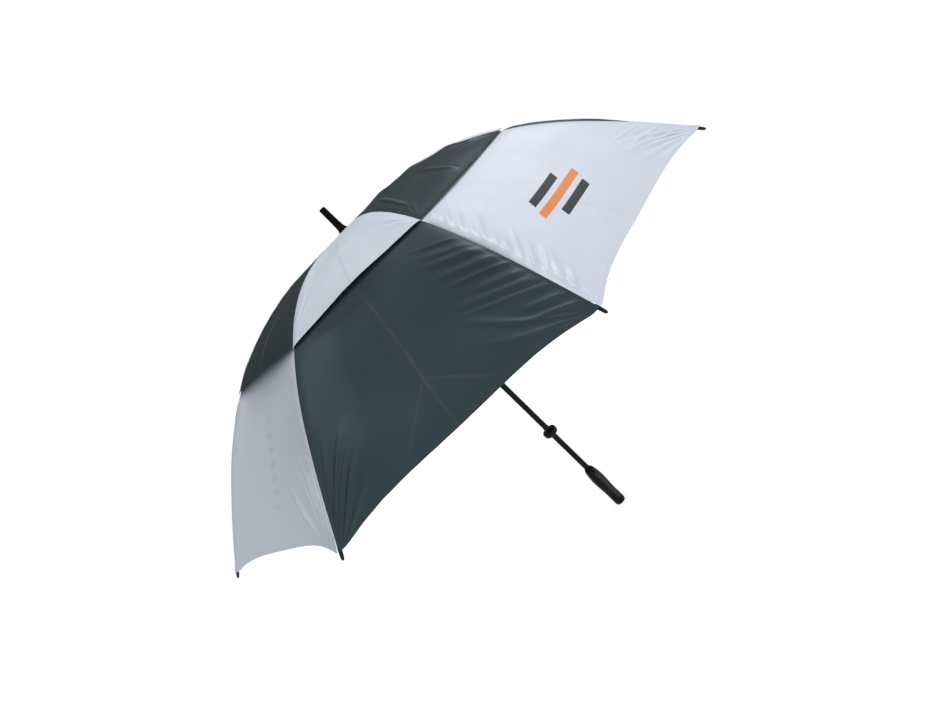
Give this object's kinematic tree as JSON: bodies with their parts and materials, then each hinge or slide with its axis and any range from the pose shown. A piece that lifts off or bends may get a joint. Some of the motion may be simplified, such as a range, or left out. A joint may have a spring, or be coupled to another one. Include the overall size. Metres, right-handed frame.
{
  "type": "golf umbrella",
  "caption": "Large straight golf umbrella with a vented double canopy of alternating dark and white panels, hinged ribs, sliding runner, long finial and straight grip.",
  "frame": {"origin": "centre of the flat end face of the handle grip, where the umbrella is held", "axes": "+Z along the shaft from the handle to the finial, +X along rib 0, canopy open"},
  "size_m": [1.3412, 1.3412, 0.982],
  "materials": {
    "dark_cloth": "dark slate green woven nylon, slightly glossy",
    "white_cloth": "white woven nylon, slightly glossy",
    "black_plastic": "moulded black plastic, glossy",
    "black_rod": "black fibreglass rod, satin",
    "black_paint": "black enamel on steel, glossy",
    "black_rubber": "moulded soft black grip, satin",
    "steel_wire": "plain drawn steel wire"
  },
  "bodies": {
    "frame": {"shaft_tube": "black_paint", "finial": "black_plastic", "top_notch": "black_plastic", "notch_wire": "steel_wire", "upper_stop_collar": "black_plastic", "lower_stop_collar": "black_plastic", "handle_grip": "black_rubber"},
    "runner": {"runner": "black_plastic", "button_spring": "steel_wire"},
    "button": {"runner_button": "black_plastic"},
    "rib_inner_0": {"rib_inner_0": "black_rod"},
    "rib_outer_0": {"rib_outer_0": "black_rod", "rib_tip_0": "black_plastic"},
    "stretcher_0": {"stretcher_0": "black_paint"},
    "vent_panel_0": {"vent_panel_0": "dark_cloth"},
    "main_panel_0": {"main_panel_0": "white_cloth"},
    "rib_inner_1": {"rib_inner_1": "black_rod"},
    "rib_outer_1": {"rib_outer_1": "black_rod", "rib_tip_1": "black_plastic"},
    "stretcher_1": {"stretcher_1": "black_paint"},
    "vent_panel_1": {"vent_panel_1": "white_cloth"},
    "main_panel_1": {"main_panel_1": "dark_cloth"},
    "rib_inner_2": {"rib_inner_2": "black_rod"},
    "rib_outer_2": {"rib_outer_2": "black_rod", "rib_tip_2": "black_plastic"},
    "stretcher_2": {"stretcher_2": "black_paint"},
    "vent_panel_2": {"vent_panel_2": "dark_cloth"},
    "main_panel_2": {"main_panel_2": "white_cloth"},
    "rib_inner_3": {"rib_inner_3": "black_rod"},
    "rib_outer_3": {"rib_outer_3": "black_rod", "rib_tip_3": "black_plastic"},
    "stretcher_3": {"stretcher_3": "black_paint"},
    "vent_panel_3": {"vent_panel_3": "white_cloth"},
    "main_panel_3": {"main_panel_3": "dark_cloth"},
    "rib_inner_4": {"rib_inner_4": "black_rod"},
    "rib_outer_4": {"rib_outer_4": "black_rod", "rib_tip_4": "black_plastic"},
    "stretcher_4": {"stretcher_4": "black_paint"},
    "vent_panel_4": {"vent_panel_4": "dark_cloth"},
    "main_panel_4": {"main_panel_4": "white_cloth"},
    "rib_inner_5": {"rib_inner_5": "black_rod"},
    "rib_outer_5": {"rib_outer_5": "black_rod", "rib_tip_5": "black_plastic"},
    "stretcher_5": {"stretcher_5": "black_paint"},
    "vent_panel_5": {"vent_panel_5": "white_cloth"},
    "main_panel_5": {"main_panel_5": "dark_cloth"},
    "rib_inner_6": {"rib_inner_6": "black_rod"},
    "rib_outer_6": {"rib_outer_6": "black_rod", "rib_tip_6": "black_plastic"},
    "stretcher_6": {"stretcher_6": "black_paint"},
    "vent_panel_6": {"vent_panel_6": "dark_cloth"},
    "main_panel_6": {"main_panel_6": "white_cloth"},
    "rib_inner_7": {"rib_inner_7": "black_rod"},
    "rib_outer_7": {"rib_outer_7": "black_rod", "rib_tip_7": "black_plastic"},
    "stretcher_7": {"stretcher_7": "black_paint"},
    "vent_panel_7": {"vent_panel_7": "white_cloth"},
    "main_panel_7": {"main_panel_7": "dark_cloth"}
  },
  "joints": [
    {"name": "runner_slide", "type": "slide", "parent": "frame", "child": "runner", "axis": [0, 0, -1], "range_m": [0, 0.42095]},
    {"name": "button_push", "type": "slide", "parent": "runner", "child": "button", "axis": [-0.9239, 0.3827, 0], "range_m": [0, 0.0013], "stiffness_N_per_m": 900, "springref_m": -0.0012, "deforming": ["button_spring"]},
    {"name": "rib_root_0", "type": "hinge", "parent": "frame", "child": "rib_inner_0", "pos_m": [0.012, 0, 0.9095], "axis": [0, 1, 0], "range_deg": [0, 80.5]},
    {"name": "elbow_0", "type": "hinge", "parent": "rib_inner_0", "child": "rib_outer_0", "pos_m": [0.29558, 0, 0.88083], "axis": [0, 1, 0], "range_deg": [-27, 0]},
    {"name": "stretcher_pivot_0", "type": "hinge", "parent": "rib_inner_0", "child": "stretcher_0", "pos_m": [0.28236, 0, 0.87893], "axis": [0, 1, 0], "range_deg": [-145.76, 0]},
    {"name": "vent_fold_0", "type": "hinge", "parent": "frame", "child": "vent_panel_0", "pos_m": [0.01024, -0.00424, 0.9095], "axis": [0.3827, 0.9239, 0], "range_deg": [0, 80.5], "deforming": ["vent_panel_0"]},
    {"name": "main_fold_0", "type": "hinge", "parent": "vent_panel_0", "child": "main_panel_0", "pos_m": [0.2523, -0.1045, 0.88083], "axis": [0.3827, 0.9239, 0], "range_deg": [-29, 0], "deforming": ["main_panel_0"]},
    {"name": "rib_root_1", "type": "hinge", "parent": "frame", "child": "rib_inner_1", "pos_m": [0.00849, -0.00849, 0.9095], "axis": [0.7071, 0.7071, 0], "range_deg": [0, 80.5]},
    {"name": "elbow_1", "type": "hinge", "parent": "rib_inner_1", "child": "rib_outer_1", "pos_m": [0.20901, -0.20901, 0.88083], "axis": [0.7071, 0.7071, 0], "range_deg": [-27, 0]},
    {"name": "stretcher_pivot_1", "type": "hinge", "parent": "rib_inner_1", "child": "stretcher_1", "pos_m": [0.19966, -0.19966, 0.87893], "axis": [0.7071, 0.7071, 0], "range_deg": [-145.76, 0]},
    {"name": "vent_fold_1", "type": "hinge", "parent": "frame", "child": "vent_panel_1", "pos_m": [0.00424, -0.01024, 0.9095], "axis": [0.9239, 0.3827, 0], "range_deg": [0, 80.5], "deforming": ["vent_panel_1"]},
    {"name": "main_fold_1", "type": "hinge", "parent": "vent_panel_1", "child": "main_panel_1", "pos_m": [0.1045, -0.2523, 0.88083], "axis": [0.9239, 0.3827, 0], "range_deg": [-29, 0], "deforming": ["main_panel_1"]},
    {"name": "rib_root_2", "type": "hinge", "parent": "frame", "child": "rib_inner_2", "pos_m": [0, -0.012, 0.9095], "axis": [1, 0, 0], "range_deg": [0, 80.5]},
    {"name": "elbow_2", "type": "hinge", "parent": "rib_inner_2", "child": "rib_outer_2", "pos_m": [0, -0.29558, 0.88083], "axis": [1, 0, 0], "range_deg": [-27, 0]},
    {"name": "stretcher_pivot_2", "type": "hinge", "parent": "rib_inner_2", "child": "stretcher_2", "pos_m": [0, -0.28236, 0.87893], "axis": [1, 0, 0], "range_deg": [-145.76, 0]},
    {"name": "vent_fold_2", "type": "hinge", "parent": "frame", "child": "vent_panel_2", "pos_m": [-0.00424, -0.01024, 0.9095], "axis": [0.9239, -0.3827, 0], "range_deg": [0, 80.5], "deforming": ["vent_panel_2"]},
    {"name": "main_fold_2", "type": "hinge", "parent": "vent_panel_2", "child": "main_panel_2", "pos_m": [-0.1045, -0.2523, 0.88083], "axis": [0.9239, -0.3827, 0], "range_deg": [-29, 0], "deforming": ["main_panel_2"]},
    {"name": "rib_root_3", "type": "hinge", "parent": "frame", "child": "rib_inner_3", "pos_m": [-0.00849, -0.00849, 0.9095], "axis": [0.7071, -0.7071, 0], "range_deg": [0, 80.5]},
    {"name": "elbow_3", "type": "hinge", "parent": "rib_inner_3", "child": "rib_outer_3", "pos_m": [-0.20901, -0.20901, 0.88083], "axis": [0.7071, -0.7071, 0], "range_deg": [-27, 0]},
    {"name": "stretcher_pivot_3", "type": "hinge", "parent": "rib_inner_3", "child": "stretcher_3", "pos_m": [-0.19966, -0.19966, 0.87893], "axis": [0.7071, -0.7071, 0], "range_deg": [-145.76, 0]},
    {"name": "vent_fold_3", "type": "hinge", "parent": "frame", "child": "vent_panel_3", "pos_m": [-0.01024, -0.00424, 0.9095], "axis": [0.3827, -0.9239, 0], "range_deg": [0, 80.5], "deforming": ["vent_panel_3"]},
    {"name": "main_fold_3", "type": "hinge", "parent": "vent_panel_3", "child": "main_panel_3", "pos_m": [-0.2523, -0.1045, 0.88083], "axis": [0.3827, -0.9239, 0], "range_deg": [-29, 0], "deforming": ["main_panel_3"]},
    {"name": "rib_root_4", "type": "hinge", "parent": "frame", "child": "rib_inner_4", "pos_m": [-0.012, 0, 0.9095], "axis": [0, -1, 0], "range_deg": [0, 80.5]},
    {"name": "elbow_4", "type": "hinge", "parent": "rib_inner_4", "child": "rib_outer_4", "pos_m": [-0.29558, 0, 0.88083], "axis": [0, -1, 0], "range_deg": [-27, 0]},
    {"name": "stretcher_pivot_4", "type": "hinge", "parent": "rib_inner_4", "child": "stretcher_4", "pos_m": [-0.28236, 0, 0.87893], "axis": [0, -1, 0], "range_deg": [-145.76, 0]},
    {"name": "vent_fold_4", "type": "hinge", "parent": "frame", "child": "vent_panel_4", "pos_m": [-0.01024, 0.00424, 0.9095], "axis": [-0.3827, -0.9239, 0], "range_deg": [0, 80.5], "deforming": ["vent_panel_4"]},
    {"name": "main_fold_4", "type": "hinge", "parent": "vent_panel_4", "child": "main_panel_4", "pos_m": [-0.2523, 0.1045, 0.88083], "axis": [-0.3827, -0.9239, 0], "range_deg": [-29, 0], "deforming": ["main_panel_4"]},
    {"name": "rib_root_5", "type": "hinge", "parent": "frame", "child": "rib_inner_5", "pos_m": [-0.00849, 0.00849, 0.9095], "axis": [-0.7071, -0.7071, 0], "range_deg": [0, 80.5]},
    {"name": "elbow_5", "type": "hinge", "parent": "rib_inner_5", "child": "rib_outer_5", "pos_m": [-0.20901, 0.20901, 0.88083], "axis": [-0.7071, -0.7071, 0], "range_deg": [-27, 0]},
    {"name": "stretcher_pivot_5", "type": "hinge", "parent": "rib_inner_5", "child": "stretcher_5", "pos_m": [-0.19966, 0.19966, 0.87893], "axis": [-0.7071, -0.7071, 0], "range_deg": [-145.76, 0]},
    {"name": "vent_fold_5", "type": "hinge", "parent": "frame", "child": "vent_panel_5", "pos_m": [-0.00424, 0.01024, 0.9095], "axis": [-0.9239, -0.3827, 0], "range_deg": [0, 80.5], "deforming": ["vent_panel_5"]},
    {"name": "main_fold_5", "type": "hinge", "parent": "vent_panel_5", "child": "main_panel_5", "pos_m": [-0.1045, 0.2523, 0.88083], "axis": [-0.9239, -0.3827, 0], "range_deg": [-29, 0], "deforming": ["main_panel_5"]},
    {"name": "rib_root_6", "type": "hinge", "parent": "frame", "child": "rib_inner_6", "pos_m": [0, 0.012, 0.9095], "axis": [-1, 0, 0], "range_deg": [0, 80.5]},
    {"name": "elbow_6", "type": "hinge", "parent": "rib_inner_6", "child": "rib_outer_6", "pos_m": [0, 0.29558, 0.88083], "axis": [-1, 0, 0], "range_deg": [-27, 0]},
    {"name": "stretcher_pivot_6", "type": "hinge", "parent": "rib_inner_6", "child": "stretcher_6", "pos_m": [0, 0.28236, 0.87893], "axis": [-1, 0, 0], "range_deg": [-145.76, 0]},
    {"name": "vent_fold_6", "type": "hinge", "parent": "frame", "child": "vent_panel_6", "pos_m": [0.00424, 0.01024, 0.9095], "axis": [-0.9239, 0.3827, 0], "range_deg": [0, 80.5], "deforming": ["vent_panel_6"]},
    {"name": "main_fold_6", "type": "hinge", "parent": "vent_panel_6", "child": "main_panel_6", "pos_m": [0.1045, 0.2523, 0.88083], "axis": [-0.9239, 0.3827, 0], "range_deg": [-29, 0], "deforming": ["main_panel_6"]},
    {"name": "rib_root_7", "type": "hinge", "parent": "frame", "child": "rib_inner_7", "pos_m": [0.00849, 0.00849, 0.9095], "axis": [-0.7071, 0.7071, 0], "range_deg": [0, 80.5]},
    {"name": "elbow_7", "type": "hinge", "parent": "rib_inner_7", "child": "rib_outer_7", "pos_m": [0.20901, 0.20901, 0.88083], "axis": [-0.7071, 0.7071, 0], "range_deg": [-27, 0]},
    {"name": "stretcher_pivot_7", "type": "hinge", "parent": "rib_inner_7", "child": "stretcher_7", "pos_m": [0.19966, 0.19966, 0.87893], "axis": [-0.7071, 0.7071, 0], "range_deg": [-145.76, 0]},
    {"name": "vent_fold_7", "type": "hinge", "parent": "frame", "child": "vent_panel_7", "pos_m": [0.01024, 0.00424, 0.9095], "axis": [-0.3827, 0.9239, 0], "range_deg": [0, 80.5], "deforming": ["vent_panel_7"]},
    {"name": "main_fold_7", "type": "hinge", "parent": "vent_panel_7", "child": "main_panel_7", "pos_m": [0.2523, 0.1045, 0.88083], "axis": [-0.3827, 0.9239, 0], "range_deg": [-29, 0], "deforming": ["main_panel_7"]}
  ],
  "couplings": [
    {"joint": "rib_root_0", "follows": "runner_slide", "rad_per_m": 3.3377},
    {"joint": "elbow_0", "follows": "runner_slide", "rad_per_m": -1.1195},
    {"joint": "stretcher_pivot_0", "follows": "runner_slide", "rad_per_m": -6.0436},
    {"joint": "vent_fold_0", "follows": "runner_slide", "rad_per_m": 3.3377},
    {"joint": "main_fold_0", "follows": "runner_slide", "rad_per_m": -1.2024},
    {"joint": "rib_root_1", "follows": "runner_slide", "rad_per_m": 3.3377},
    {"joint": "elbow_1", "follows": "runner_slide", "rad_per_m": -1.1195},
    {"joint": "stretcher_pivot_1", "follows": "runner_slide", "rad_per_m": -6.0436},
    {"joint": "vent_fold_1", "follows": "runner_slide", "rad_per_m": 3.3377},
    {"joint": "main_fold_1", "follows": "runner_slide", "rad_per_m": -1.2024},
    {"joint": "rib_root_2", "follows": "runner_slide", "rad_per_m": 3.3377},
    {"joint": "elbow_2", "follows": "runner_slide", "rad_per_m": -1.1195},
    {"joint": "stretcher_pivot_2", "follows": "runner_slide", "rad_per_m": -6.0436},
    {"joint": "vent_fold_2", "follows": "runner_slide", "rad_per_m": 3.3377},
    {"joint": "main_fold_2", "follows": "runner_slide", "rad_per_m": -1.2024},
    {"joint": "rib_root_3", "follows": "runner_slide", "rad_per_m": 3.3377},
    {"joint": "elbow_3", "follows": "runner_slide", "rad_per_m": -1.1195},
    {"joint": "stretcher_pivot_3", "follows": "runner_slide", "rad_per_m": -6.0436},
    {"joint": "vent_fold_3", "follows": "runner_slide", "rad_per_m": 3.3377},
    {"joint": "main_fold_3", "follows": "runner_slide", "rad_per_m": -1.2024},
    {"joint": "rib_root_4", "follows": "runner_slide", "rad_per_m": 3.3377},
    {"joint": "elbow_4", "follows": "runner_slide", "rad_per_m": -1.1195},
    {"joint": "stretcher_pivot_4", "follows": "runner_slide", "rad_per_m": -6.0436},
    {"joint": "vent_fold_4", "follows": "runner_slide", "rad_per_m": 3.3377},
    {"joint": "main_fold_4", "follows": "runner_slide", "rad_per_m": -1.2024},
    {"joint": "rib_root_5", "follows": "runner_slide", "rad_per_m": 3.3377},
    {"joint": "elbow_5", "follows": "runner_slide", "rad_per_m": -1.1195},
    {"joint": "stretcher_pivot_5", "follows": "runner_slide", "rad_per_m": -6.0436},
    {"joint": "vent_fold_5", "follows": "runner_slide", "rad_per_m": 3.3377},
    {"joint": "main_fold_5", "follows": "runner_slide", "rad_per_m": -1.2024},
    {"joint": "rib_root_6", "follows": "runner_slide", "rad_per_m": 3.3377},
    {"joint": "elbow_6", "follows": "runner_slide", "rad_per_m": -1.1195},
    {"joint": "stretcher_pivot_6", "follows": "runner_slide", "rad_per_m": -6.0436},
    {"joint": "vent_fold_6", "follows": "runner_slide", "rad_per_m": 3.3377},
    {"joint": "main_fold_6", "follows": "runner_slide", "rad_per_m": -1.2024},
    {"joint": "rib_root_7", "follows": "runner_slide", "rad_per_m": 3.3377},
    {"joint": "elbow_7", "follows": "runner_slide", "rad_per_m": -1.1195},
    {"joint": "stretcher_pivot_7", "follows": "runner_slide", "rad_per_m": -6.0436},
    {"joint": "vent_fold_7", "follows": "runner_slide", "rad_per_m": 3.3377},
    {"joint": "main_fold_7", "follows": "runner_slide", "rad_per_m": -1.2024}
  ]
}
